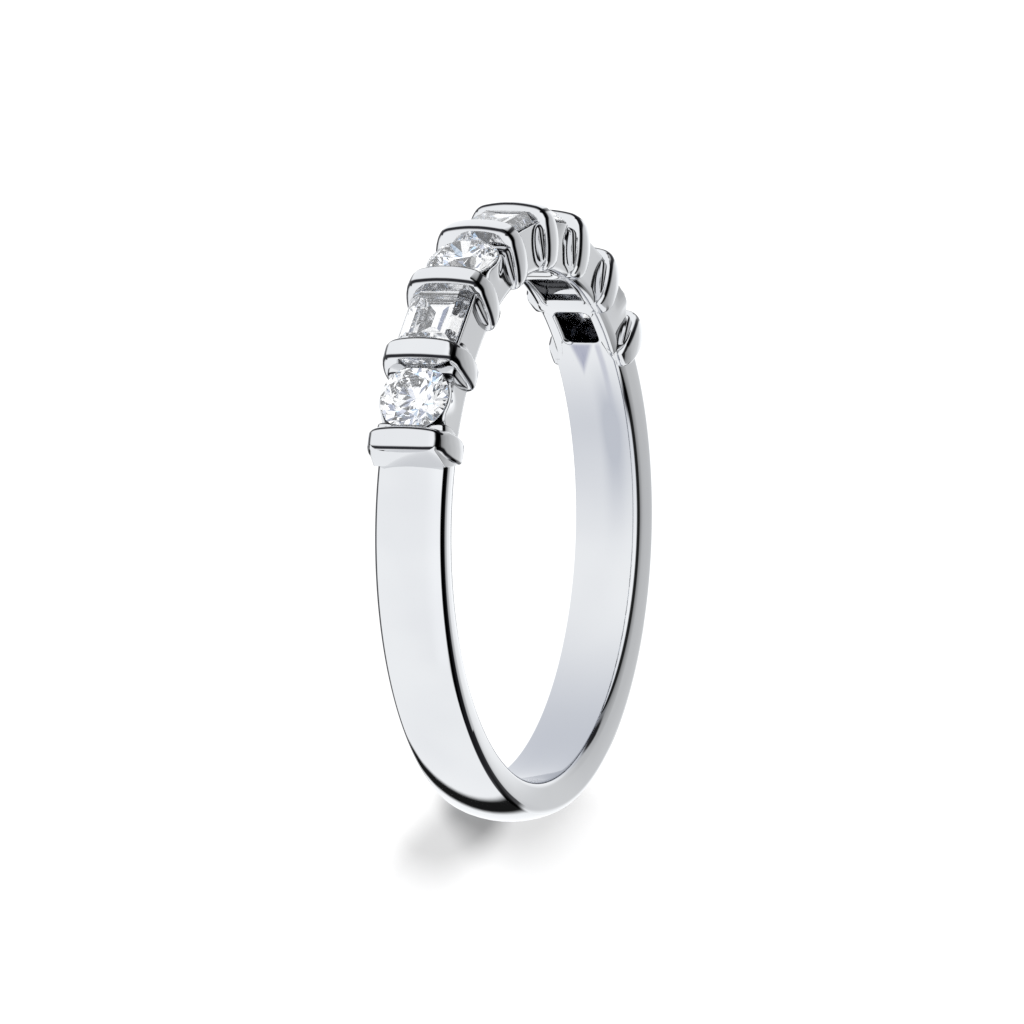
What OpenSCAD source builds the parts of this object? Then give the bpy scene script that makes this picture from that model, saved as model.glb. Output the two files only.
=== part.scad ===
// Diamond band: a shank with seven stones held between eight raised bars.
// The finger hole runs along Z, and the middle of the head points along -Y.
// The band lies on its side, with its widest places on the plane z = 0.

/* [Shank] */
// Inside diameter of the finger hole
inside_d = 16.9; // [15:0.1:20]
// Width of the band where it meets the finger hole
inner_w = 2.28; // [2.2:0.01:2.36]
// Width of the shank over the edges of its outer face
outer_w = 2.56; // [2.45:0.01:2.6]
// Thickness of the shank in the middle of its width
shank_t = 1.36; // [1.3:0.01:1.45]
// Radius of the low dome across the outer face of the shank
shank_dome_r = 2.8; // [2.5:0.1:5]
// Size of the chamfers along the outer face
shank_chamfer = 0.08; // [0.04:0.01:0.2]

/* [Bars] */
// Height of the bars above the finger hole
bar_h = 2.3; // [2.22:0.01:2.4]
// Thickness of a bar along the band, at its thickest
bar_t = 0.92; // [0.88:0.01:0.98]
// Radius of the crown along the top of a bar
bar_dome_r = 6; // [4:0.1:9]
// Chamfer at the two ends of a bar's top
bar_end_chamfer = 0.3; // [0.1:0.01:0.35]
// Chamfer under the foot of a bar, where it meets the finger hole
foot_chamfer = 0.12; // [0.05:0.01:0.2]
// Width of the band over the bellies at the ends of the bars
belly_w = 3.02; // [2.94:0.01:3.1]
// Radius of the belly at the end of a bar
belly_r = 3.2; // [2.6:0.1:5]

/* [Stones] */
// Distance between neighbouring stones, measured at their girdles
stone_pitch = 3.11; // [3.09:0.01:3.16]
// Height of the girdles above the finger hole
girdle_h = 1.7; // [1.66:0.01:1.74]
// Diameter of a round stone
round_d = 2.4; // [2.34:0.01:2.44]
// Length of a baguette stone along the band
baguette_l = 2.54; // [2.44:0.01:2.58]
// Width of a baguette stone across the band
baguette_w = 2.05; // [1.95:0.01:2.08]
// Clearance between a stone and its seat
seat_gap = 0.02; // [0.015:0.005:0.03]

/* [Windows] */
// Length along the band of the window under a round stone
round_window_l = 1.6; // [1.3:0.05:1.7]
// Width across the band of the window under a round stone
round_window_w = 1.16; // [1:0.02:1.3]
// Length along the band of the window under a baguette stone
baguette_window_l = 2.2; // [1.6:0.05:2.25]
// Width across the band of the window under a baguette stone
baguette_window_w = 1.34; // [1:0.02:1.4]
// Radius of the corners of the windows
window_r = 0.25; // [0.15:0.01:0.35]

/* [Hidden] */
$fn = 96;
rounds = 4;
baguettes = 3;
stones = rounds + baguettes;
bars = stones + 1;

bore_r = inside_d / 2;
girdle_r = bore_r + girdle_h;
pitch_angle = 2 * asin(stone_pitch / 2 / girdle_r);
head_angle = pitch_angle * stones;
mid_z = belly_w / 2;

// The side walls between the bars end in a flat rim, a little below the girdles
rim_drop = 0.06;
rim_w = 2.24;
rim_gap = 2.14;
bar_cut = 1.8;
cup_depth = 1.2;
cup_bottom_d = 2;
cup_top_d = 2.56;

// The bellies bulge most at this height above the finger hole
belly_h = 0.9;
// How far the widest place of a bar stands out past the ends of its top and of its foot
top_inset = 0.2;
foot_inset = 0.13;
// Outlines of a bar and of the two ribs on its flanks, seen along the finger hole.
// Columns: thickness at the thickest place, its height, thickness at the foot, width across the band
bar_leaf = [bar_t, 1.35, 0.52, belly_w];
rib_leaves = [
    [1.24, 1.4, 0.4, belly_w - 0.26],
    [1.56, 1.3, 0.2, belly_w - 0.46],
];
// Outer flank of the first and the last bar, from its top down to its foot.
// Columns: height above the finger hole, half the thickness along the band
end_flank = [[0.04, 0.26], [0.9, 0.62], [1.3, 0.74], [2.1, 0.37]];
end_flank_w = belly_w - 0.28;

// Proportions of the round cut, with its angles in degrees
table_ratio = 0.56;
crown_angle = 34.5;
pavilion_angle = 40.8;
star_ratio = 0.5;
lower_ratio = 0.77;
girdle_t = 0.05;
facets = 8;
half_step = 180 / facets;
round_r = round_d / 2;
table_r = round_r * table_ratio;
star_r = (table_r * cos(half_step) + round_r) * star_ratio;
star_h = girdle_t / 2 + (round_r - star_r * cos(half_step)) * tan(crown_angle);
crown_h = girdle_t / 2 + (round_r - table_r) * tan(crown_angle);
lower_r = round_r * (1 - lower_ratio);
lower_h = -girdle_t / 2 - (round_r - lower_r * cos(half_step)) * tan(pavilion_angle);
culet_h = -girdle_t / 2 - round_r * tan(pavilion_angle);

// Steps of the baguette cut, from the keel up to the table.
// Columns: inset from the girdle, height above the middle of the girdle
baguette_steps = [
    [0.96, -0.93], [0.66, -0.73], [0.31, -0.43], [0, -0.025],
    [0, 0.025], [0.14, 0.17], [0.34, 0.32],
];

// The first and the last window lie this much nearer to the middle of the head
end_shift = 0.2;

// Longer than any cut needs
far = 6;
// The shank runs into the two end bars by this angle
bar_overlap = 1.2;
shank_chamfer_angle = 35;

function bar_angle(i) = (i - (bars - 1) / 2) * pitch_angle;
function stone_angle(i) = (i - (stones - 1) / 2) * pitch_angle;
function ring_of(count, r, h, first = 0) = [
    for (i = [0 : count - 1]) let (a = first + i * 360 / count) [r * cos(a), r * sin(a), h]
];

// Place a form at an angle round the head. In its own frame X points away
// from the finger, Y runs along the band and Z is the axis of the finger hole.
module at_head(angle) {
    translate([0, 0, mid_z]) rotate([0, 0, angle - 90]) children();
}

// Place a form like at_head(), with its Z pointing away from the finger
module at_girdle(angle) {
    at_head(angle) translate([girdle_r, 0, 0]) rotate([0, 90, 0]) children();
}

// Section of the shank: X is the radius, Y runs across the band
module shank_section() {
    dome_x = bore_r + shank_t - shank_dome_r;
    edge_h = shank_t - shank_dome_r + sqrt(shank_dome_r ^ 2 - (outer_w / 2) ^ 2);
    side_slope = (outer_w - inner_w) / 2 / edge_h;
    chamfer_h = edge_h - shank_chamfer;
    chamfer_z = inner_w / 2 + side_slope * chamfer_h;
    intersection() {
        polygon([
            [bore_r - 0.5, inner_w / 2 - side_slope * 0.5],
            [bore_r + chamfer_h, chamfer_z],
            [bore_r + chamfer_h + chamfer_z / tan(shank_chamfer_angle), 0],
            [bore_r + chamfer_h, -chamfer_z],
            [bore_r - 0.5, side_slope * 0.5 - inner_w / 2],
        ]);
        translate([dome_x, 0]) circle(shank_dome_r);
    }
}

// A prism over the head, up to this angle from its middle on both sides
module head_sector(end_angle) {
    reach = 3 * bore_r;
    translate([0, 0, -far]) linear_extrude(height = belly_w + 2 * far) polygon([
        [0, 0],
        [-reach * sin(end_angle), -reach * cos(end_angle)],
        [0, -2 * reach],
        [reach * sin(end_angle), -reach * cos(end_angle)],
    ]);
}

// The plain part of the band, from the last bar round to the first one
module shank() {
    difference() {
        translate([0, 0, mid_z]) rotate_extrude() shank_section();
        head_sector(head_angle / 2 - bar_overlap);
    }
}

// The common form of two equal bellies, one at each end of a bar
module bellies(full_w) {
    shift = full_w / 2 - belly_r;
    intersection() {
        translate([bore_r + belly_h, 0, shift]) sphere(belly_r);
        translate([bore_r + belly_h, 0, -shift]) sphere(belly_r);
    }
}

// A leaf-shaped slab with bulging ends: see the columns of bar_leaf
module leaf(shape) {
    half = shape[0] / 2;
    height = shape[1];
    sag = half - shape[2] / 2;
    arc_r = (height ^ 2 + sag ^ 2) / (2 * sag);
    intersection() {
        translate([bore_r + height, half - arc_r, 0]) cylinder(h = far, r = arc_r, center = true);
        translate([bore_r + height, arc_r - half, 0]) cylinder(h = far, r = arc_r, center = true);
        bellies(shape[3]);
    }
}

// End view of a bar: X is the radius, Y runs across the band.
// Lines at 45 degrees cut the chamfers of the foot and of the top.
module bar_section() {
    half = belly_w / 2;
    foot_line = half - foot_inset - foot_chamfer - bore_r;
    top_line = half - top_inset - bar_end_chamfer
        + bore_r + bar_h - (half - top_inset) ^ 2 / (2 * bar_dome_r);
    inner_x = bore_r - 0.5;
    outer_x = bore_r + bar_h + 0.5;
    upper = [
        [inner_x, inner_x + foot_line],
        [half - foot_line, half],
        [top_line - half, half],
        [outer_x, top_line - outer_x],
    ];
    intersection() {
        translate([bore_r + bar_h - bar_dome_r, 0]) circle(bar_dome_r);
        polygon(concat(upper, [for (i = [3 : -1 : 0]) [upper[i].x, -upper[i].y]]));
    }
}

// One raised bar
module bar() {
    intersection() {
        leaf(bar_leaf);
        rotate([90, 0, 0]) linear_extrude(height = far, center = true) bar_section();
    }
}

// Outer flank of an end bar, which slopes down to the shank on the side of +Y
module end_flank() {
    top = end_flank[len(end_flank) - 1];
    intersection() {
        linear_extrude(height = far, center = true)
            polygon(concat([for (p = end_flank) [bore_r + p[0], p[1]]], [[bore_r + top[0], 0], [bore_r, 0]]));
        bellies(end_flank_w);
    }
}

// The walls beside the stones, with a cup round each round stone and ribs beside
// the bars. They are cut flat between the bars, just under the girdles.
module walls() {
    difference() {
        union() {
            translate([0, 0, mid_z]) rotate([0, 0, -head_angle / 2 - 90])
                rotate_extrude(angle = head_angle) polygon([
                    [bore_r - 0.5, -inner_w / 2], [girdle_r + 0.1, -rim_w / 2],
                    [girdle_r + 0.1, rim_w / 2], [bore_r - 0.5, inner_w / 2],
                ]);
            for (i = [0 : 2 : stones - 1]) at_girdle(stone_angle(i))
                translate([0, 0, -cup_depth]) cylinder(h = cup_depth, d1 = cup_bottom_d, d2 = cup_top_d);
            intersection() {
                head_sector(head_angle / 2);
                union() for (i = [0 : bars - 1], shape = rib_leaves) at_head(bar_angle(i)) leaf(shape);
            }
        }
        for (i = [0 : stones - 1]) at_girdle(stone_angle(i))
            translate([-far / 2, -rim_gap / 2, -rim_drop]) cube([far, rim_gap, far]);
        for (i = [0 : bars - 1]) at_head(bar_angle(i))
            translate([girdle_r - rim_drop, -bar_cut / 2, -far / 2]) cube([far, bar_cut, far]);
    }
}

// Seat of a round stone, and that stone's own outline
module round_seat() {
    side_gap = seat_gap / cos(pavilion_angle);
    rotate_extrude() polygon([
        [0, culet_h - side_gap],
        [round_r + seat_gap, -girdle_t / 2 - seat_gap / 2],
        [round_r + seat_gap, girdle_t / 2 + seat_gap / 2],
        [table_r, crown_h + side_gap],
        [0, crown_h + side_gap],
    ]);
}

// The step cut, grown by a clearance on all sides
module baguette_form(grow) {
    heights = [for (p = baguette_steps) p[1] + sign(p[1]) * grow];
    intersection() {
        rotate([90, 0, 0]) linear_extrude(height = far, center = true)
            step_outline(baguette_w / 2 + grow, heights);
        rotate([90, 0, 90]) linear_extrude(height = far, center = true)
            step_outline(baguette_l / 2 + grow, heights);
    }
}

// One side view of the step cut: Y is the height
module step_outline(half, heights) {
    steps = [for (i = [0 : len(heights) - 1]) [half - baguette_steps[i][0], heights[i]]];
    polygon(concat(steps, [for (i = [len(steps) - 1 : -1 : 0]) [-steps[i].x, steps[i].y]]));
}

// A window through the band, from the finger hole up to the stone
module window(length, width) {
    translate([0, 0, -girdle_h - 1]) linear_extrude(height = girdle_h + 0.85) {
        square([width - 2 * window_r, length], center = true);
        square([width, length - 2 * window_r], center = true);
        for (x = [-1, 1], y = [-1, 1])
            translate([x * (width / 2 - window_r), y * (length / 2 - window_r)]) circle(window_r);
    }
}

// All the metal, cast in one piece
module band() {
    color("silver") difference() {
        union() {
            shank();
            walls();
            for (i = [0 : bars - 1]) at_head(bar_angle(i)) bar();
            at_head(bar_angle(bars - 1)) end_flank();
            at_head(bar_angle(0)) mirror([0, 1, 0]) end_flank();
        }
        for (i = [0 : 2 : stones - 1]) at_girdle(stone_angle(i)) {
            round_seat();
            translate([0, i == 0 ? end_shift : i == stones - 1 ? -end_shift : 0, 0])
                window(round_window_l, round_window_w);
        }
        for (i = [1 : 2 : stones - 1]) at_girdle(stone_angle(i)) {
            baguette_form(seat_gap);
            window(baguette_window_l, baguette_window_w);
        }
        translate([0, 0, -far]) cylinder(h = belly_w + 2 * far, d = inside_d);
    }
}

// Round brilliant stone, counted along the head
module round_stone(number) {
    points = concat(
        ring_of(facets, table_r, crown_h),
        ring_of(facets, star_r, star_h, half_step),
        ring_of(2 * facets, round_r, girdle_t / 2),
        ring_of(2 * facets, round_r, -girdle_t / 2),
        ring_of(facets, lower_r, lower_h, half_step),
        [[0, 0, culet_h]]
    );
    star = facets;
    upper = star + facets;
    lower = upper + 2 * facets;
    half = lower + 2 * facets;
    culet = half + facets;
    last = facets - 1;
    faces = concat(
        [[for (i = [last : -1 : 0]) i]],
        [for (i = [0 : last]) [i, (i + 1) % facets, star + i]],
        [for (i = [0 : last]) [i, star + i, upper + 2 * i, star + (i + last) % facets]],
        [for (i = [0 : last]) [star + i, upper + 2 * i + 1, upper + 2 * i]],
        [for (i = [0 : last]) [star + i, upper + (2 * i + 2) % (2 * facets), upper + 2 * i + 1]],
        [for (i = [0 : 2 * facets - 1]) let (j = (i + 1) % (2 * facets)) [upper + i, upper + j, lower + j, lower + i]],
        [for (i = [0 : last]) [lower + 2 * i, lower + 2 * i + 1, half + i]],
        [for (i = [0 : last]) [lower + 2 * i + 1, lower + (2 * i + 2) % (2 * facets), half + i]],
        [for (i = [0 : last]) [lower + 2 * i, half + i, culet, half + (i + last) % facets]]
    );
    color("aliceblue") at_girdle(stone_angle(2 * number - 2)) polyhedron(points, faces);
}

// Step-cut baguette stone, counted along the head
module baguette_stone(number) {
    color("aliceblue") at_girdle(stone_angle(2 * number - 1)) baguette_form(0);
}

band();
for (number = [1 : rounds])
    round_stone(number);
for (number = [1 : baguettes])
    baguette_stone(number);
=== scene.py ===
# Diamond band with round and baguette stones between raised bars, lying on its side on a pale table
import math
import bmesh
import bpy
from mathutils import Matrix, Vector


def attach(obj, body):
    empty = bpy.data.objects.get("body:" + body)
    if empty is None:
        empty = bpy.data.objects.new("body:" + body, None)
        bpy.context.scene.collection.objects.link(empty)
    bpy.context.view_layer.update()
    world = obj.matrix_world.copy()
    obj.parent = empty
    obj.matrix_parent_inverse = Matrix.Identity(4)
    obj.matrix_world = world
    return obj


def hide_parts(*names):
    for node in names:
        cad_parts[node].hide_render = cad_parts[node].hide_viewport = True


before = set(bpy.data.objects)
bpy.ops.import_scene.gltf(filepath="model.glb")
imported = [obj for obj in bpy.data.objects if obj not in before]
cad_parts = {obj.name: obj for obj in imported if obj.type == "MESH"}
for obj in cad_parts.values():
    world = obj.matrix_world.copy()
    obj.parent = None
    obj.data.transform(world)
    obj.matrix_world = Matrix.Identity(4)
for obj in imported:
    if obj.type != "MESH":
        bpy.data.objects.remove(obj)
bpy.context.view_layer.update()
scene = bpy.context.scene
print("frame loaded")

# Lengths of the pieces are in millimetres, and each mesh is scaled to metres at its end
ring = {
    "boreRadius": 8.45,
    "midHeight": 1.51,  # middle of the band's width, above the table
    "girdleHeight": 1.7,  # of the stones, above the finger hole
    "stonePitch": 3.11,
    "stoneCount": 7,
    "innerWidth": 2.28,  # of the band at the finger hole
    "weld": 0.0002,  # points nearer than this are one
    "sharpFrom": 38,  # degrees between two faces, from which their edge stays sharp
}
boreRadius = ring["boreRadius"]
girdleRadius = boreRadius + ring["girdleHeight"]
pitch = 2 * math.asin(ring["stonePitch"] / 2 / girdleRadius)
barAngles = [(i - ring["stoneCount"] / 2) * pitch for i in range(ring["stoneCount"] + 1)]
stoneAngles = [(i - (ring["stoneCount"] - 1) / 2) * pitch for i in range(ring["stoneCount"])]


# From a place's own frame, x away from the finger, y along the band and z across it, to the ring
def atHead(angle):
    return Matrix.Translation((0, 0, ring["midHeight"])) @ Matrix.Rotation(angle - math.pi / 2, 4, "Z")


# A socket in a material's tree. Sums on it add Math nodes, and node() adds any other
class Wire:
    def __init__(self, tree, socket=None):
        self.tree = tree
        self.socket = socket

    # A node of a type, with its settings first, then the values or links of its sockets
    def node(self, kind, settings=None, output=0, **inputs):
        made = self.tree.nodes.new(kind)
        for name, value in (settings or {}).items():
            setattr(made, name, value)
        for name, value in inputs.items():
            entry = made.inputs[int(name[5:]) if name.startswith("input") else name.replace("_", " ")]
            if isinstance(value, Wire):
                self.tree.links.new(value.socket, entry)
            else:
                entry.default_value = value
        return Wire(self.tree, made.outputs[output]) if made.outputs else made

    def sum(self, operation, first, second=0.0):
        return self.node("ShaderNodeMath", {"operation": operation}, input0=first, input1=second)

    def __add__(self, other):
        return self.sum("ADD", self, other)

    def __radd__(self, other):
        return self.sum("ADD", other, self)

    def __mul__(self, other):
        return self.sum("MULTIPLY", self, other)

    def __rmul__(self, other):
        return self.sum("MULTIPLY", other, self)

    def __sub__(self, other):
        return self.sum("SUBTRACT", self, other)

    def __rsub__(self, other):
        return self.sum("SUBTRACT", other, self)

    def __abs__(self):
        return self.sum("ABSOLUTE", self)

    def rise(self, low, high):  # 0 below low, 1 above high, eased between them
        return self.node(
            "ShaderNodeMapRange", {"interpolation_type": "SMOOTHSTEP"},
            Value=self, From_Min=low, From_Max=high,
        )

    def mix(self, factor, first, second):
        return self.node(
            "ShaderNodeMix", {"data_type": "RGBA"}, 2, input0=factor, input6=first, input7=second,
        )


def newMaterial(name):
    material = bpy.data.materials.new(name)
    material.use_nodes = True
    material.node_tree.nodes.clear()
    return material, Wire(material.node_tree)


# The metal's colours, and in millimetres the places of the painted shade inside the finger hole
metalLook = {
    "colour": (0.73, 0.735, 0.745, 1),
    "deep": (0.69, 0.695, 0.71, 1),
    # painted reflections and shade: the dark of the lines along edges and of the window walls
    "paintedShadeAndReflection": (0.02, 0.02, 0.024, 1),
    "bore": (0.45, 0.465, 0.51, 1),  # painted shade: the inside of the shank is darker and bluer
    "paintedShadeV": (0.3, 0.31, 0.4, 1),  # painted shade in a dark V on the finger hole beside the first and last windows
    "roughness": 0.035,
    "roughClouds": 0.03,
    "cloudScale": 900.0,
    "smearScale": 260.0,
    "lineScale": 1600.0,
    "lineStretch": 14.0,
    "polishLines": 0.012,
    "lineDepth": 0.00002,  # metres
    "paintedBoreShadeFrom": (-4.6, -1.4),  # along y, where the painted shade near the head begins
    "paintedBoreShadeTo": (-1.8, 3.4),  # and where it ends
    "paintedBoreShadeFar": (4.0, 8.6),  # the painted shade far from the head
    "paintedBoreShadeBand": (0.35, 0.05, 0.55),  # middle across the band, and where it starts and stops fading
    "windowEnd": -4.5,  # along y, of the first and last windows
    "scoopWidth": (0.22, 0.44),
    "scoopMiddle": -0.1,  # across the band
    "scoopLean": 0.16,
    "scoopNarrows": 0.36,
    "scoopBegins": (-4.8, -4.5),
    "streakMiddle": 0.5,
    "streakWidth": (0.03, 0.16),
    "streakEnds": (0.4, 2.6),
}


def makeMetal():
    look = metalLook
    material, sh = newMaterial("polishedWhiteMetal")
    place = sh.node("ShaderNodeTexCoord", output=3)
    clouds = sh.node(
        "ShaderNodeTexNoise", Vector=place, Scale=look["cloudScale"], Detail=3.0, Roughness=0.6,
    )
    smears = sh.node("ShaderNodeTexNoise", Vector=place, Scale=look["smearScale"], Detail=2.0)
    stretched = sh.node("ShaderNodeMapping", Vector=place, Scale=(1.0, 1.0, look["lineStretch"]))
    lines = sh.node(
        "ShaderNodeTexNoise", Vector=stretched, Scale=look["lineScale"], Detail=4.0, Roughness=0.7,
    )
    colour = sh.mix(smears.rise(0.35, 0.7), look["colour"], look["deep"])
    x = sh.node("ShaderNodeSeparateXYZ", output=0, Vector=place) * 1000
    y = sh.node("ShaderNodeSeparateXYZ", output=1, Vector=place) * 1000
    # Painted shade: the finger hole is darker and bluer near the head and far from it
    inside = 1 - (x * x + y * y).rise(boreRadius ** 2 + 0.3, boreRadius ** 2 + 1.6)
    across = sh.node("ShaderNodeSeparateXYZ", output=2, Vector=place) * 1000 - ring["midHeight"]
    middle, fadeStart, fadeEnd = look["paintedBoreShadeBand"]
    paintedBoreShadeBand = 1.25 - abs(across - middle).rise(fadeStart, fadeEnd) * 0.6
    paintedBoreShade = y.rise(*look["paintedBoreShadeFrom"]) * (1 - y.rise(*look["paintedBoreShadeTo"])) * paintedBoreShadeBand + y.rise(*look["paintedBoreShadeFar"])
    colour = sh.mix(inside * paintedBoreShade, colour, look["bore"])
    # Painted shade: a dark V with a streak on the finger hole beside the first and last windows
    below = y - look["windowEnd"]
    paintedShadeV = abs(across - look["scoopMiddle"] + below * look["scoopLean"]) + below * look["scoopNarrows"]
    streak = 1 - abs(across - look["streakMiddle"]).rise(*look["streakWidth"])
    streak = streak * (1 - below.rise(*look["streakEnds"])) * 0.6
    paintedShadeV = 1 - paintedShadeV.rise(*look["scoopWidth"]) + streak
    paintedShadeV = paintedShadeV * y.rise(*look["scoopBegins"]) * (lines * 0.5 + 0.55)
    colour = sh.mix(inside * paintedShadeV, colour, look["paintedShadeV"])
    # Painted reflections and shade, kept on the points, darken the metal's colour
    paintedShadeAndReflection = sh.node("ShaderNodeAttribute", {"attribute_name": "paintedShadeAndReflection"}, 2)
    colour = sh.mix(paintedShadeAndReflection.rise(0.15, 0.65), colour, look["paintedShadeAndReflection"])
    roughness = clouds.rise(0.45, 0.75) * look["roughClouds"] + look["roughness"]
    bump = sh.node("ShaderNodeBump", Strength=look["polishLines"], Distance=look["lineDepth"], Height=lines)
    surface = sh.node(
        "ShaderNodeBsdfPrincipled", Base_Color=colour, Metallic=1.0, Roughness=roughness, Normal=bump,
    )
    sh.node("ShaderNodeOutputMaterial", Surface=surface)
    return material


diamondLook = {
    "colour": (0.985, 0.992, 1.0, 1),
    "girdle": (0.86, 0.88, 0.90, 1),
    "ior": 2.417,
    "mirror": 0.08,
    "girdleHalf": 0.000027,  # metres
    "girdleGrain": 9000.0,
    "polishGrain": 2200.0,
    "polishRough": 0.006,
}


# One finish for each stone, because its girdle is found along the stone's own upright
def makeDiamond(name, angle):
    material, sh = newMaterial(name)
    place = sh.node("ShaderNodeTexCoord", output=3)
    out = (math.sin(angle), -math.cos(angle), 0)
    height = sh.node("ShaderNodeVectorMath", {"operation": "DOT_PRODUCT"}, 1, input0=place, input1=out)
    offset = abs(height - girdleRadius * 0.001)
    girdle = 1 - offset.rise(diamondLook["girdleHalf"] * 0.85, diamondLook["girdleHalf"])
    grain = sh.node("ShaderNodeTexNoise", Vector=place, Scale=diamondLook["girdleGrain"], Detail=3.0)
    polish = sh.node("ShaderNodeTexNoise", Vector=place, Scale=diamondLook["polishGrain"], Detail=2.0)
    colour = sh.mix(girdle, diamondLook["colour"], diamondLook["girdle"])
    roughness = girdle * (grain * 0.25 + 0.2) + polish.rise(0.4, 0.8) * diamondLook["polishRough"]
    surface = sh.node(
        "ShaderNodeBsdfPrincipled", Base_Color=colour, Roughness=roughness,
        IOR=diamondLook["ior"], Transmission_Weight=1.0, Specular_IOR_Level=diamondLook["mirror"],
    )
    sh.node("ShaderNodeOutputMaterial", Surface=surface)
    return material


metal = makeMetal()
print("finishes made")


# Gives a finished mesh to the scene as a piece of the band
def finishPiece(bm, name, material):
    bmesh.ops.remove_doubles(bm, verts=bm.verts, dist=ring["weld"])
    bmesh.ops.recalc_face_normals(bm, faces=bm.faces)
    bmesh.ops.scale(bm, vec=(0.001, 0.001, 0.001), verts=bm.verts)
    mesh = bpy.data.meshes.new(name)
    bm.to_mesh(mesh)
    bm.free()
    mesh.materials.append(material)
    mesh.shade_smooth()
    mesh.set_sharp_from_angle(angle=math.radians(ring["sharpFrom"]))
    piece = bpy.data.objects.new(name, mesh)
    scene.collection.objects.link(piece)
    even = piece.modifiers.new("evenNormals", "WEIGHTED_NORMAL")
    even.keep_sharp = True
    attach(piece, "root")
    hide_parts("band")
    return piece


# Painted reflections and shade are kept as a value on the points: dark lines along edges and dark window
# walls
def startMesh():
    bm = bmesh.new()
    bm.verts.layers.float.new("paintedShadeAndReflection")
    return bm


# Rounds edges. Where lineAt gives a value, the middle of the rounding gets a dark line of painted
# reflection, and wide spreads it toward the sides
def edgeBevel(bm, edges, offset, segments, lineAt=None, wide=1.0):
    layer = bm.verts.layers.float["paintedShadeAndReflection"]
    made = bmesh.ops.bevel(
        bm, geom=[e for e in edges if e.is_valid], offset=offset, offset_type="OFFSET", segments=segments,
        profile=0.5, affect="EDGES", clamp_overlap=False, material=-1,
    )
    band = {f for f in made["faces"] if f.is_valid}
    if not lineAt:
        for v in {v for f in band for v in f.verts}:
            v[layer] = 0.0
        return
    inside = {v for f in band for v in f.verts if all(g in band for g in v.link_faces)}
    depth = 0
    while inside:
        depth += 1
        nextIn = {v for v in inside if all(e.other_vert(v) in inside for e in v.link_edges)}
        for v in inside - nextIn:
            v[layer] = max(v[layer], lineAt(v.co) * min(1.0, 2 * wide * depth / segments))
        inside = nextIn if len(nextIn) < len(inside) else set()


# The shank is a rounded section, spun from one end bar to the other
shankShape = {
    "thickness": 1.36,
    "outerWidth": 2.56,
    "domeRadius": 2.8,
    "outerRound": 0.2,
    "innerRound": 0.25,
    "lowerRound": 0.07,
    "steps": 180,
    "lineDark": 0.8,  # the painted reflection lines along the outer edges
    "lineRadius": 9.46,  # they start this far out
    "lineWider": (0.09, 3.5, 3),  # away from the head: by how much, from which y, over what length
    "lineEnds": (58, 69),  # degrees at which they have faded, at the lower and the upper edge
    "lineFade": 8,  # degrees
    "innerLines": ((112, 1.1, 10), (-162, 0.9, 12)),  # painted reflection strokes on the inner edge: degrees, darkness and how slowly each fades
}


def makeShank():
    bm = startMesh()
    halfInner = ring["innerWidth"] / 2
    halfOuter = shankShape["outerWidth"] / 2
    domeRadius = shankShape["domeRadius"]
    domeTop = boreRadius + shankShape["thickness"]
    across = [halfOuter * k / 10 for k in (-10, -7, -5, -3, -1, 1, 3, 5, 7, 10)]
    outline = [(domeTop - domeRadius + math.sqrt(domeRadius ** 2 - z ** 2), z) for z in across]
    outline += [(boreRadius, halfInner * k / 4) for k in (4, 2, 0, -2, -4)]
    start = barAngles[-1] - math.pi / 2  # the head's middle is on the -y side
    verts = [bm.verts.new((r, 0, z)) for r, z in outline]
    section = bm.faces.new(verts)
    bmesh.ops.rotate(bm, verts=bm.verts, cent=(0, 0, 0), matrix=Matrix.Rotation(start, 3, "Z"))
    bmesh.ops.spin(
        bm, geom=[section] + list(section.edges) + verts, cent=(0, 0, 0), axis=(0, 0, 1),
        angle=2 * math.pi - 2 * barAngles[-1], steps=shankShape["steps"],
        use_merge=False, use_duplicate=False,
    )
    bmesh.ops.remove_doubles(bm, verts=bm.verts, dist=ring["weld"])
    outer, inner = [], []
    for edge in bm.edges:
        ends = [(math.hypot(v.co.x, v.co.y), abs(v.co.z)) for v in edge.verts]
        if abs(edge.verts[0].co.z - edge.verts[1].co.z) < 1e-4:
            if min(e[1] for e in ends) > halfOuter - 1e-3:
                outer.append(edge)
            elif max(e[0] for e in ends) < boreRadius + 1e-3 and min(e[1] for e in ends) > halfInner - 1e-3:
                inner.append(edge)

    # Painted reflections: dark lines along the outer edges, and strokes on the inner edge
    def outerLine(co):
        turn = math.degrees(math.atan2(co.y, abs(co.x)))
        wider, widerFrom, widerOver = shankShape["lineWider"]
        widened = wider * min(1, max(0, (co.y - widerFrom) / widerOver))
        if math.hypot(co.x, co.y) < shankShape["lineRadius"] - widened:
            return 0.0
        end = shankShape["lineEnds"][0 if co.z < 0 else 1]
        return shankShape["lineDark"] * min(1, max(0, (end - turn) / shankShape["lineFade"]))

    def innerLine(co):
        turn = math.degrees(math.atan2(co.y, co.x))
        if math.hypot(co.x, co.y) > boreRadius + 0.1:
            return 0.0
        return max(0, *(dark - abs(turn - at) / fade for at, dark, fade in shankShape["innerLines"]))

    edgeBevel(bm, outer, shankShape["outerRound"], 6, outerLine, 3.0)
    edgeBevel(bm, [e for e in inner if e.verts[0].co.z > 0], shankShape["innerRound"], 5, innerLine, 1.5)
    edgeBevel(bm, [e for e in inner if e.is_valid and e.verts[0].co.z < 0], shankShape["lowerRound"], 3)
    bmesh.ops.translate(bm, vec=(0, 0, ring["midHeight"]), verts=bm.verts)
    return finishPiece(bm, "shank", metal)


shank = makeShank()
print("shank made")


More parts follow.
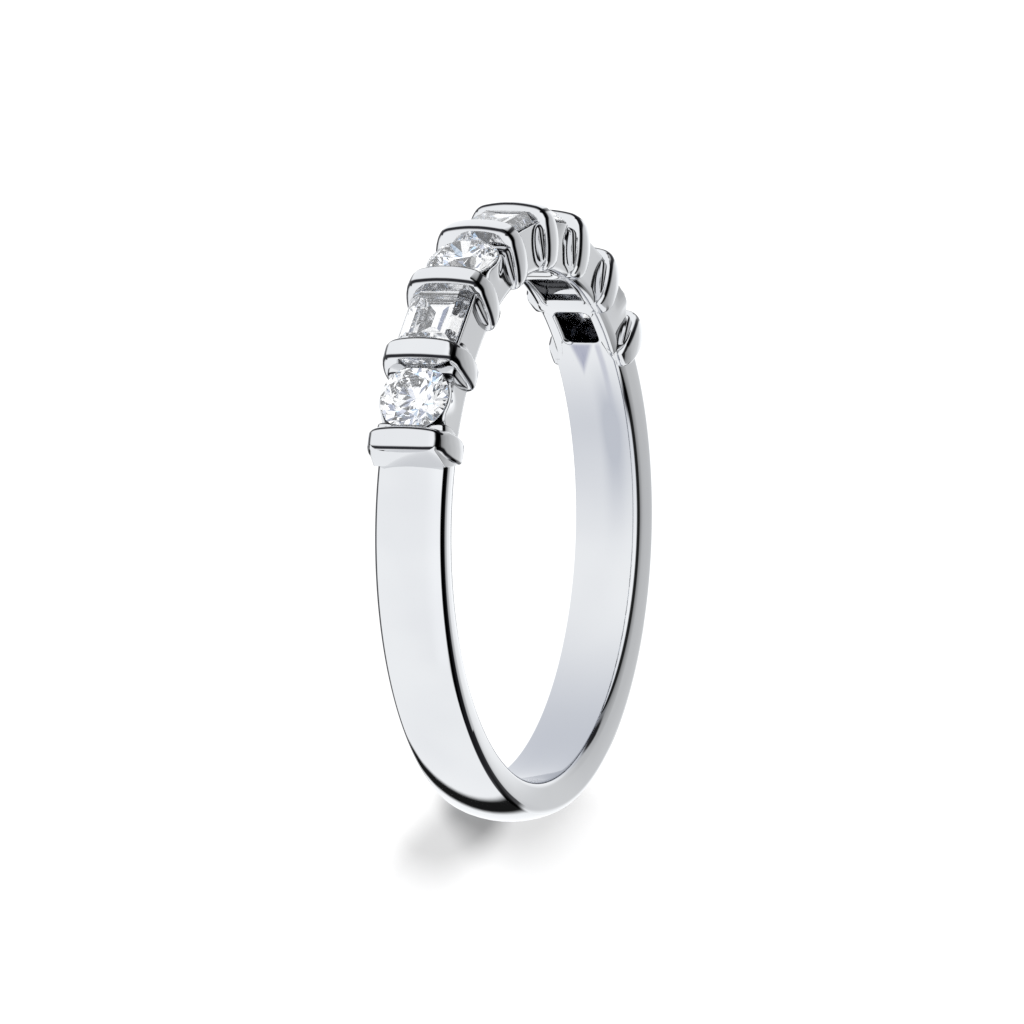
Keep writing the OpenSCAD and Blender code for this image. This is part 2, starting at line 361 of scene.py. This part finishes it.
# The bars are leaf-shaped slabs, and the ribs and end slopes are cut the same way
barShape = {
    "top": 2.3,
    "halfWidth": 1.51,
    "crownRadius": 4.2,
    "half": 0.46,
    "halfAtFoot": 0.34,
    "thickestAt": 1.35,
    "boat": (0.17, 0.32),  # how much thinner the ends are, evenly and at the top's tips
    "topCorner": 0.32,
    "footCorner": 0.36,
    "edge": 0.14,
    "line": 1.0,  # darkness of the painted reflection line along its edges
}
ribShape = {
    "top": 1.63,
    "halfWidth": 1.33,
    "half": 0.68,
    "halfAtFoot": 0.12,
    "thickestAt": 1.35,
    "crownRadius": 400.0,
    "boat": (0.0, 0.0),
    "topCorner": 0.3,
    "footCorner": 0.3,
    "edge": 0.08,
    "line": 1.0,
}
slopeShape = {
    "top": 2.1,
    "halfWidth": 1.37,
    "steps": ((0.0, 0.22), (0.04, 0.26), (0.9, 0.62), (1.3, 0.74), (2.1, 0.37)),  # height, thickness
    "crownRadius": 400.0,
    "boat": (0.0, 0.0),
    "topCorner": 0.1,
    "footCorner": 0.16,
    "edge": 0.04,
    "line": 0.0,
}
belly = {"widestAt": 0.9, "radius": 3.2}
slab = {
    "lift": 0.012,  # off the finger hole
    "halfLength": 1.3,
    "thinsFrom": (1.2, 1.6),  # height, for the ends as a whole and for the top's tips
    "rows": {2: 0.4, 3: 1.0, 4: 0.4},  # darkness of the painted reflection line on the edge's rows, on the upper side
    "topRows": {1: 0.1, 2: 0.9, 3: 0.3},  # and on the lower side near the top
    "nearTop": 0.5,
    "lineFoot": 0.35,  # the line stops this far above the finger hole
}


def thicknessAt(shape, height):
    if "steps" in shape:
        steps = shape["steps"]
        for (lowH, lowT), (highH, highT) in zip(steps, steps[1:]):
            if height <= highH:
                return lowT + (highT - lowT) * max(0, height - lowH) / (highH - lowH)
        return steps[-1][1]
    sag = shape["half"] - shape["halfAtFoot"]
    arc = (shape["thickestAt"] ** 2 + sag ** 2) / (2 * sag)
    return shape["half"] - arc + math.sqrt(arc ** 2 - (height - shape["thickestAt"]) ** 2)


def bellyAt(shape, height):
    radius = belly["radius"]
    return shape["halfWidth"] - radius + math.sqrt(radius ** 2 - (height - belly["widestAt"]) ** 2)


# Points along a curve that rounds the corner between two points
def fillet(start, corner, end, count):
    steps = [k / count for k in range(count + 1)]
    return [start * (1 - s) ** 2 + corner * 2 * s * (1 - s) + end * s ** 2 for s in steps]


# One half of a slab's outline, seen along the band, as (height, z) and the corner's painted dark line
def halfOutline(shape):
    crown = shape["crownRadius"]
    cornerHalf = bellyAt(shape, shape["top"] - 0.15)
    cornerHeight = shape["top"] - cornerHalf ** 2 / (2 * crown)
    foot, tip = shape["footCorner"], shape["topCorner"]

    def side(height):
        return Vector((height, bellyAt(shape, height)))

    def dome(z):
        return Vector((shape["top"] - z ** 2 / (2 * crown), z))

    last = cornerHeight - tip
    points = fillet(Vector((0, bellyAt(shape, 0) - foot)), side(0), side(foot), 6)
    points += [side(foot + (last - foot) * k / 8) for k in range(1, 8)]
    lines = [0.0] * len(points)
    points += fillet(side(last), Vector((cornerHeight, cornerHalf)), dome(cornerHalf - tip), 8)
    lines += [shape["line"] * max(0, 1 - 2.5 * abs(k / 4 - 1)) for k in range(9)]
    points += [dome((cornerHalf - tip) * (1 - k / 6)) for k in range(1, 6)]
    lines += [0.0] * 5
    return points, lines


# A slab is its outline, drawn in by the edge's radius and cut into a grid, then given its
# thickness in eleven rows, of which the outer five on each side round the edge
def makeSlab(shape, angle, oneSided=0):
    bm = startMesh()
    outHeight = bm.verts.layers.float.new("outHeight")
    outZ = bm.verts.layers.float.new("outZ")
    layer = bm.verts.layers.float["paintedShadeAndReflection"]
    half, halfLines = halfOutline(shape)
    outline = half + [Vector((p.x, -p.y)) for p in reversed(half)]
    lines = halfLines + halfLines[::-1]
    edge = shape["edge"]
    verts = []
    for i, point in enumerate(outline):
        along = (outline[(i + 1) % len(outline)] - outline[i - 1]).normalized()
        v = bm.verts.new((point.x + edge * along.y, 0, point.y - edge * along.x))
        v[outHeight], v[outZ], v[layer] = -along.y, along.x, lines[i]
        verts.append(v)
    bm.faces.new(verts)
    for i in range(1, len(half) - 1):
        bmesh.ops.connect_vert_pair(bm, verts=[verts[i], verts[-1 - i]])
    chords = [e for e in bm.edges if e.verts[0].co.z * e.verts[1].co.z < 0]
    bmesh.ops.subdivide_edges(bm, edges=chords, cuts=7, use_grid_fill=True)
    made = bmesh.ops.extrude_face_region(bm, geom=list(bm.faces))
    moved = [g for g in made["geom"] if isinstance(g, bmesh.types.BMVert)]
    bmesh.ops.translate(bm, vec=(0, 1, 0), verts=moved)
    cross = [e for e in bm.edges if abs(e.verts[0].co.y - e.verts[1].co.y) > 0.5]
    bmesh.ops.subdivide_edges(bm, edges=cross, cuts=9, use_grid_fill=True)
    for v in bm.verts:
        row = round(v.co.y * 10) - 5
        depth = abs(row)
        q = math.radians(22.5 * max(0, depth - 1))
        height = v.co.x + edge * math.cos(q) * v[outHeight]
        z = v.co.z + edge * math.cos(q) * v[outZ]
        thick = thicknessAt(shape, height)
        u = abs(z) / slab["halfLength"]
        evenFrom, tipsFrom = slab["thinsFrom"]
        thick *= 1 - shape["boat"][0] * u ** 2 * min(1, max(0, height - evenFrom))
        thick *= 1 - shape["boat"][1] * u ** 8 * min(1, max(0, height - tipsFrom) / 0.5)
        far = thick - edge * (1 - math.sin(q))
        y = far if row > 0 else 0.0 if row == 0 else -far
        if oneSided:
            y = oneSided * (far if row > 0 else thick / 2 if row == 0 else 0.0)
        # The painted reflection line along the slab's edges and the top's corners
        nearTop = height > shape["top"] - slab["nearTop"] and abs(z) < slab["halfLength"]
        drawn = slab["rows"] if row > 0 else slab["topRows"] if nearTop else {}
        line = shape["line"] * drawn.get(depth, 0.0) if height > slab["lineFoot"] else 0.0
        v[layer] = 0.0 if depth == 5 else max(v[layer], line)
        v.co = (boreRadius + height + slab["lift"], y, z - y ** 2 / (2 * belly["radius"]) * z / 1.4)
    for name in ("outHeight", "outZ"):
        bm.verts.layers.float.remove(bm.verts.layers.float[name])
    bmesh.ops.recalc_face_normals(bm, faces=bm.faces)
    bmesh.ops.transform(bm, matrix=atHead(angle), verts=bm.verts)
    return bm


def joinSlabs(name, slabs):
    whole = startMesh()
    for bm in slabs:
        part = bpy.data.meshes.new("part")
        bm.to_mesh(part)
        bm.free()
        whole.from_mesh(part)
        bpy.data.meshes.remove(part)
    return finishPiece(whole, name, metal)


joinSlabs("bars", [makeSlab(barShape, angle) for angle in barAngles])
ribSides = [1] + [0] * (len(barAngles) - 2) + [-1]  # the end bars have a rib on the stone's side alone
joinSlabs("ribs", [makeSlab(ribShape, angle, side) for angle, side in zip(barAngles, ribSides)])
joinSlabs("end_slopes", [makeSlab(slopeShape, barAngles[0], -1), makeSlab(slopeShape, barAngles[-1], 1)])
print("bars made")


# The walls are made one bay at a time, round a window and up to the stone's seat
bayShape = {
    "turns": 96,
    "rimDrop": 0.06,
    "rimHalf": 1.12,
    "cupBottom": 1.0,
    "cupTop": 1.28,
    "cupDepth": 1.2,
    "cupSoft": 0.04,
    "rimRound": 0.03,
    "boreRound": 0.28,
    "windowRound": 0.14,
    "rimFall": (1.26, 2.2, 1.3),  # from this far off a round stone's middle, how steeply, and at most
    "windowCorner": 0.25,
    "endShift": 0.2,  # the first and last windows lie this far toward the middle of the head
    "shade": {-10: 0.9, -7: 0.3, -6: 1.0, -5: 1.0, -4: 0.2},  # painted shade of rows, counted from the last: the rim by the stone and the window's walls
    "boxShade": {-12: 0.2, -11: 0.9},  # the rim beside a baguette gets painted shade too
}
roundSeat = {
    "window": (0.8, 0.58),
    "radius": 1.2,
    "slope": math.tan(math.radians(40.8)),
    "girdleHalf": 0.025,
    "gap": 0.026,  # measured upright
}
baguetteSeat = {
    "window": (1.1, 0.67),
    "half": (1.27, 1.025),
    "gap": 0.02,
    "steps": ((0.0, 0.025), (0.31, 0.43), (0.66, 0.73)),  # inset, depth
}


# How far out a box with rounded corners reaches in a direction
def boxReach(turn, halfY, halfZ, corner):
    dy, dz = abs(math.cos(turn)), abs(math.sin(turn))
    reach = min(halfY / max(dy, 1e-9), halfZ / max(dz, 1e-9))
    cy, cz = halfY - corner, halfZ - corner
    if reach * dy > cy and reach * dz > cz:
        along = dy * cy + dz * cz
        reach = along + math.sqrt(max(along ** 2 - cy ** 2 - cz ** 2 + corner ** 2, 0))
    return reach


# Depth of a baguette's stepped underside, this far in from its girdle
def stepDepth(inset):
    steps = baguetteSeat["steps"]
    for (lowIn, lowD), (highIn, highD) in zip(steps, steps[1:]):
        if inset <= highIn:
            return lowD + (highD - lowD) * max(inset, 0) / (highIn - lowIn)
    return steps[-1][1]


def makeBay(index):
    bm = startMesh()
    isRound = index % 2 == 0
    seat = roundSeat if isRound else baguetteSeat
    shift = {0: bayShape["endShift"], ring["stoneCount"] - 1: -bayShape["endShift"]}.get(index, 0.0)
    rimX = girdleRadius - bayShape["rimDrop"]
    rimHeight = rimX - boreRadius
    turnLayer = bm.verts.layers.float.new("turn")
    halfPitch = math.tan(pitch / 2)

    def outside(turn, height, end):
        halfFoot = ring["innerWidth"] / 2
        halfWall = halfFoot + (bayShape["rimHalf"] - halfFoot) * height / rimHeight
        squash = max(abs(math.cos(turn)), abs(math.sin(turn)))
        y, side = end * math.cos(turn) / squash, math.sin(turn) / squash
        if isRound:
            share = (height - (ring["girdleHeight"] - bayShape["cupDepth"])) / bayShape["cupDepth"]
            cup = bayShape["cupBottom"] + (bayShape["cupTop"] - bayShape["cupBottom"]) * max(share, 0)
            bulge = math.sqrt(max(cup ** 2 - y ** 2, 0)) - halfWall
            halfWall += 0.5 * (bulge + math.sqrt(bulge ** 2 + bayShape["cupSoft"] ** 2))
        return y, halfWall * side

    def sunk(y, z, height):
        if not isRound:
            return 0.0
        start, steep, most = bayShape["rimFall"]
        return min(most, max(0.0, math.hypot(y, z) - start) * steep) * height / rimHeight

    def window(turn, grow=0.0):
        halfY, halfZ = seat["window"]
        reach = boxReach(turn, halfY + grow, halfZ + grow, bayShape["windowCorner"] + grow)
        return reach * math.cos(turn) + shift, reach * math.sin(turn)

    def boreX(y):
        return math.sqrt(boreRadius ** 2 - y ** 2)

    def seatX(y, z):
        if isRound:
            depth = seat["girdleHalf"] + (seat["radius"] - math.hypot(y, z)) * seat["slope"]
        else:
            insets = (seat["half"][0] - abs(y), seat["half"][1] - abs(z))
            depth = min(stepDepth(insets[0]), stepDepth(insets[1]))
        return min(girdleRadius - depth - seat["gap"], rimX)

    def seatEdge(turn):
        if isRound:
            reach = seat["radius"] - 0.02
        else:
            reach = boxReach(turn, seat["half"][0] - 0.01, seat["half"][1] - 0.01, 0.02)
        return reach * math.cos(turn), reach * math.sin(turn)

    def boreRow(turn):
        y, z = outside(turn, 0, boreRadius * math.sin(pitch / 2))
        return boreX(y), y, z

    def wallRow(height):
        def row(turn):
            x = boreRadius + height
            y, z = outside(turn, height, x * halfPitch)
            return x - sunk(y, z, height), y, z
        return row

    def rimOut(turn):
        y, z = outside(turn, rimHeight, rimX * halfPitch)
        return rimX - sunk(y, z, rimHeight), y, z

    def rimIn(turn):
        y, z = seatEdge(turn)
        return rimX, y, z

    def windowTop(turn):
        y, z = window(turn)
        return seatX(y, z), y, z

    def windowEdge(degrees):
        grow = bayShape["windowRound"] * (1 - math.cos(math.radians(degrees)))
        lift = bayShape["windowRound"] * (1 - math.sin(math.radians(degrees)))

        def row(turn):
            y, z = window(turn, grow)
            return boreX(y) + lift, y, z
        return row

    def blended(first, second, share):
        def row(turn):
            a, b = Vector(first(turn)), Vector(second(turn))
            return a.lerp(b, share)
        return row

    def seatRow(share):
        def row(turn):
            y0, z0 = seatEdge(turn)
            y1, z1 = window(turn)
            y, z = y0 + (y1 - y0) * share, z0 + (z1 - z0) * share
            return seatX(y, z), y, z
        return row

    rows = [windowEdge(90), boreRow]
    rows += [wallRow(h) for h in (0.3, 0.5, 0.7, 0.9, 1.1, 1.3, 1.5)]
    rows += [rimOut, blended(rimIn, rimOut, 0.4), rimIn, seatRow(0.33), seatRow(0.66), windowTop]
    rows += [blended(windowTop, windowEdge(0), 0.5)] + [windowEdge(q) for q in (0, 22.5, 45, 67.5, 90)]
    loop = bmesh.ops.create_circle(bm, cap_ends=False, segments=bayShape["turns"], radius=1)["verts"]
    for v in loop:
        v[turnLayer] = math.atan2(v.co.y, v.co.x)
        v.co = rows[0](v[turnLayer])
    edges = list(bm.edges)
    marked = {"boreRound": [], "rimRound": []}
    layer = bm.verts.layers.float["paintedShadeAndReflection"]
    # Painted shade darkens the rim by the stone and the walls inside the window
    shade = bayShape["shade"] if isRound else {**bayShape["shade"], **bayShape["boxShade"]}
    for count, row in enumerate(rows[1:], 1):
        made = bmesh.ops.extrude_edge_only(bm, edges=edges)["geom"]
        edges = [g for g in made if isinstance(g, bmesh.types.BMEdge)]
        fresh = {g for g in made if isinstance(g, bmesh.types.BMVert)}
        for v in fresh:
            v.co = row(v[turnLayer])
            v[layer] = shade.get(count - len(rows), 0.0)
        edges = [e for e in edges if e.verts[0] in fresh and e.verts[1] in fresh]
        alongBand = [e for e in edges if abs(e.verts[0].co.y - e.verts[1].co.y) > 1e-4]
        if row is boreRow:
            marked["boreRound"] = alongBand
        if row is rimOut:
            marked["rimRound"] = alongBand
    bmesh.ops.remove_doubles(bm, verts=bm.verts, dist=ring["weld"])
    for name, picked in marked.items():
        edgeBevel(bm, picked, bayShape[name], 5)
    bmesh.ops.recalc_face_normals(bm, faces=bm.faces)
    bmesh.ops.transform(bm, matrix=atHead(stoneAngles[index]), verts=bm.verts)
    return bm


joinSlabs("walls", [makeBay(i) for i in range(ring["stoneCount"])])
print("walls made")


# The cut stones stay as they are, each with a finish of its own
for i, angle in enumerate(stoneAngles):
    name = ("round_stone_%d" if i % 2 == 0 else "baguette_stone_%d") % (i // 2 + 1)
    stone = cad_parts[name]
    stone.data.materials.clear()
    stone.data.materials.append(makeDiamond("diamond_%d" % (i + 1), angle))
    stone.data.shade_flat()
print("stones finished")


# Table, light and camera
studio = {
    "tableSize": 3.0,
    "tableColour": (0.5, 0.5, 0.503, 1),
    "tableGrain": (0.506, 0.506, 0.508, 1),
    "tableGlow": 1.15,
    "shadedGlow": (0.12, 0.12, 0.12, 1),  # where the table can show the ring's shadow
    "shadeFrom": (0.0093, 0.0098),  # it can show from this far off the ring's middle, in metres,
    "shadeShift": (0.09, 0.04),
    "shadeAlong": (0.0068, 0.0088),  # and from this far along y
    "shadeLean": (0.243, 0.107),
    "bounces": 20,  # light goes to and fro many times inside a stone
    "dome": 0.34,
    "keySoftness": 24,  # degrees
    "keys": (((0.85, -0.53, 0.42), 6.6), ((-0.9, -0.44, 0.7), 4.7)),  # from where, and the power
    "panelTint": (0.97, 0.985, 1.0, 1),
    "panelsAcross": (0.974, -0.225),  # the way along the table in which the panels follow each other
    "plainFrom": (0.6, 0.72),  # away from the head the low panels are plain, from this far along y
    "plainUpTo": (0.36, 0.46),
    "flagBegins": (114, 121),  # a dark panel beside the ring, in degrees round it
    "flagEnds": (131, 139),
    "flagUpTo": (0.25, 0.7),
    "flagDark": 0.99,
    "gemPatches": 22.0,
    "gemSteps": ((0.41, 0.43, 0.4), (0.47, 0.49, 0.45), (0.53, 0.55, 0.6)),
    "gemLeast": 0.02,
    "gemShade": (0.58, 0.68, 1.0, 1),  # the darker patches are faintly blue
    "gemBlue": (0.5, 0.72, 1.0, 1),  # and a few bright ones are light blue
    "gemBlues": 4.0,
    "sky": (  # degrees from one side over the top to the other, and the panels' brightness
        (-90, 1.17), (0, 1.17), (24, 1.25), (36, 1.25), (54, 0.02), (84, 0.02), (93, 0.32),
        (110, 0.46), (128, 0.56), (143, 0.68), (158, 0.8), (170, 1.1), (178, 1.25),
    ),
}


# The table glows evenly, and takes the key lights only where the ring's shadow falls
def makeTable():
    bm = bmesh.new()
    bmesh.ops.create_grid(bm, x_segments=8, y_segments=8, size=studio["tableSize"] / 2)
    mesh = bpy.data.meshes.new("table")
    bm.to_mesh(mesh)
    bm.free()
    table = bpy.data.objects.new("table", mesh)
    scene.collection.objects.link(table)
    material, sh = newMaterial("paleTable")
    place = sh.node("ShaderNodeTexCoord", output=3)
    grain = sh.node("ShaderNodeTexNoise", Vector=place, Scale=60.0, Detail=4.0)
    colour = sh.mix(grain, studio["tableColour"], studio["tableGrain"])
    reach = sh.node("ShaderNodeVectorMath", {"operation": "LENGTH"}, 1, input0=place)
    y = sh.node("ShaderNodeSeparateXYZ", output=1, Vector=place)
    x = sh.node("ShaderNodeSeparateXYZ", output=0, Vector=place)
    shiftX, shiftY = studio["shadeShift"]
    lean, turned = studio["shadeLean"]
    away = reach + x * shiftX + y * shiftY
    below = y - abs(x) * lean + x * turned
    shaded = away.rise(*studio["shadeFrom"]) * below.rise(*studio["shadeAlong"])
    surface = sh.node(
        "ShaderNodeBsdfPrincipled", Base_Color=sh.mix(shaded, (0, 0, 0, 1), colour), Roughness=0.6,
        Emission_Color=sh.mix(shaded, (1, 1, 1, 1), studio["shadedGlow"]),
        Specular_IOR_Level=0.0, Emission_Strength=studio["tableGlow"],
    )
    sh.node("ShaderNodeOutputMaterial", Surface=surface)
    mesh.materials.append(material)
    table.visible_glossy = False


# Plain and even as a light. The metal mirrors soft panels round a dark band overhead, and the
# stones gather light from a patchwork of bright, dark and faintly blue panels
def makeSky():
    world = bpy.data.worlds.new("studio")
    scene.world = world
    world.use_nodes = True
    world.node_tree.nodes.clear()
    sh = Wire(world.node_tree)
    toward = sh.node("ShaderNodeTexCoord", output=0)
    x = sh.node("ShaderNodeSeparateXYZ", output=0, Vector=toward)
    y = sh.node("ShaderNodeSeparateXYZ", output=1, Vector=toward)
    up = sh.node("ShaderNodeSeparateXYZ", output=2, Vector=toward)
    acrossX, acrossY = studio["panelsAcross"]
    turn = sh.sum("ARCTAN2", up, x * acrossX + y * acrossY) * (180 / math.pi)
    sky = studio["sky"]
    light = sky[0][1]
    for (low, lowLight), (high, highLight) in zip(sky, sky[1:]):
        light = turn.rise(low, high) * (highLight - lowLight) + light
    plain = y.rise(*studio["plainFrom"]) * (1 - up.rise(*studio["plainUpTo"]))
    light = light * (1 - plain) + plain * sky[0][1]
    around = sh.sum("ARCTAN2", y, x) * (180 / math.pi)
    flag = around.rise(*studio["flagBegins"]) * (1 - around.rise(*studio["flagEnds"]))
    flag = flag * (1 - up.rise(*studio["flagUpTo"]))
    light = light * (1 - flag * studio["flagDark"])
    panels = sh.node("ShaderNodeBackground", Color=studio["panelTint"], Strength=light)
    patches = sh.node("ShaderNodeTexNoise", Vector=toward, Scale=studio["gemPatches"], Detail=1.0)
    blues = sh.node("ShaderNodeTexNoise", Vector=toward, Scale=studio["gemBlues"], Detail=0.0)
    gemLight = studio["gemLeast"]
    for low, high, more in studio["gemSteps"]:
        gemLight = patches.rise(low, high) * more + gemLight
    gemTint = sh.mix(patches.rise(0.44, 0.54), studio["gemShade"], (1.0, 1.0, 1.0, 1))
    gemTint = sh.mix(blues.rise(0.58, 0.6), gemTint, studio["gemBlue"])
    gems = sh.node("ShaderNodeBackground", Color=gemTint, Strength=gemLight)
    dome = sh.node("ShaderNodeBackground", Color=(1.0, 1.0, 1.0, 1), Strength=studio["dome"])
    isGlossy = sh.node("ShaderNodeLightPath", output=3)
    isThrough = sh.node("ShaderNodeLightPath", output=6)
    mirrored = sh.node("ShaderNodeMixShader", input0=isGlossy, input1=dome, input2=panels)
    shown = sh.node("ShaderNodeMixShader", input0=isThrough, input1=mirrored, input2=gems)
    sh.node("ShaderNodeOutputWorld", Surface=shown)


# Only the shank throws a shadow in the key lights, so the table stays pale inside the ring
def makeKey(casting, source, power):
    lamp = bpy.data.lights.new("key", "SUN")
    lamp.energy = power
    lamp.angle = math.radians(studio["keySoftness"])
    light = bpy.data.objects.new("key", lamp)
    scene.collection.objects.link(light)
    light.rotation_euler = (-Vector(source)).to_track_quat("-Z", "Y").to_euler()
    light.visible_glossy = False
    light.visible_transmission = False
    light.light_linking.blocker_collection = casting


cameraShape = {
    "azimuth": 77.0,  # degrees, as the next two
    "elevation": 21.41,
    "roll": 91.16,
    "lens": 850.0,
    "sensor": 36.0,
    "picture": 1024,  # pixels across
    "pixelsPerMm": 30.18,
    "right": 3.0,  # pixels by which the ring's middle is right of the picture's, and below it
    "down": 13.8,
}


def makeCamera():
    data = bpy.data.cameras.new("camera")
    camera = bpy.data.objects.new("camera", data)
    scene.collection.objects.link(camera)
    data.lens = cameraShape["lens"]
    data.sensor_width = cameraShape["sensor"]
    data.clip_start, data.clip_end = 0.1, 20
    a, e, roll = (math.radians(cameraShape[k]) for k in ("azimuth", "elevation", "roll"))
    back = Vector((math.sin(a) * math.cos(e), -math.cos(a) * math.cos(e), math.sin(e)))
    level = Vector((math.cos(a), math.sin(a), 0))
    upward = back.cross(level)
    right = math.cos(roll) * level + math.sin(roll) * upward
    top = math.cos(roll) * upward - math.sin(roll) * level
    pixel = 0.001 / cameraShape["pixelsPerMm"]
    centre = Vector((0, 0, ring["midHeight"] * 0.001))
    target = centre - right * cameraShape["right"] * pixel + top * cameraShape["down"] * pixel
    distance = cameraShape["picture"] * data.lens / data.sensor_width * pixel
    facing = Matrix((right, top, back)).transposed().to_4x4()
    camera.matrix_world = Matrix.Translation(target + back * distance) @ facing
    scene.camera = camera


makeTable()
makeSky()
castsShadow = bpy.data.collections.new("castsShadow")
castsShadow.objects.link(shank)
for source, power in studio["keys"]:
    makeKey(castsShadow, source, power)
makeCamera()
scene.view_settings.view_transform = "Standard"
scene.cycles.max_bounces = studio["bounces"]
scene.cycles.glossy_bounces = studio["bounces"]
scene.cycles.transmission_bounces = studio["bounces"]
print("studio made")
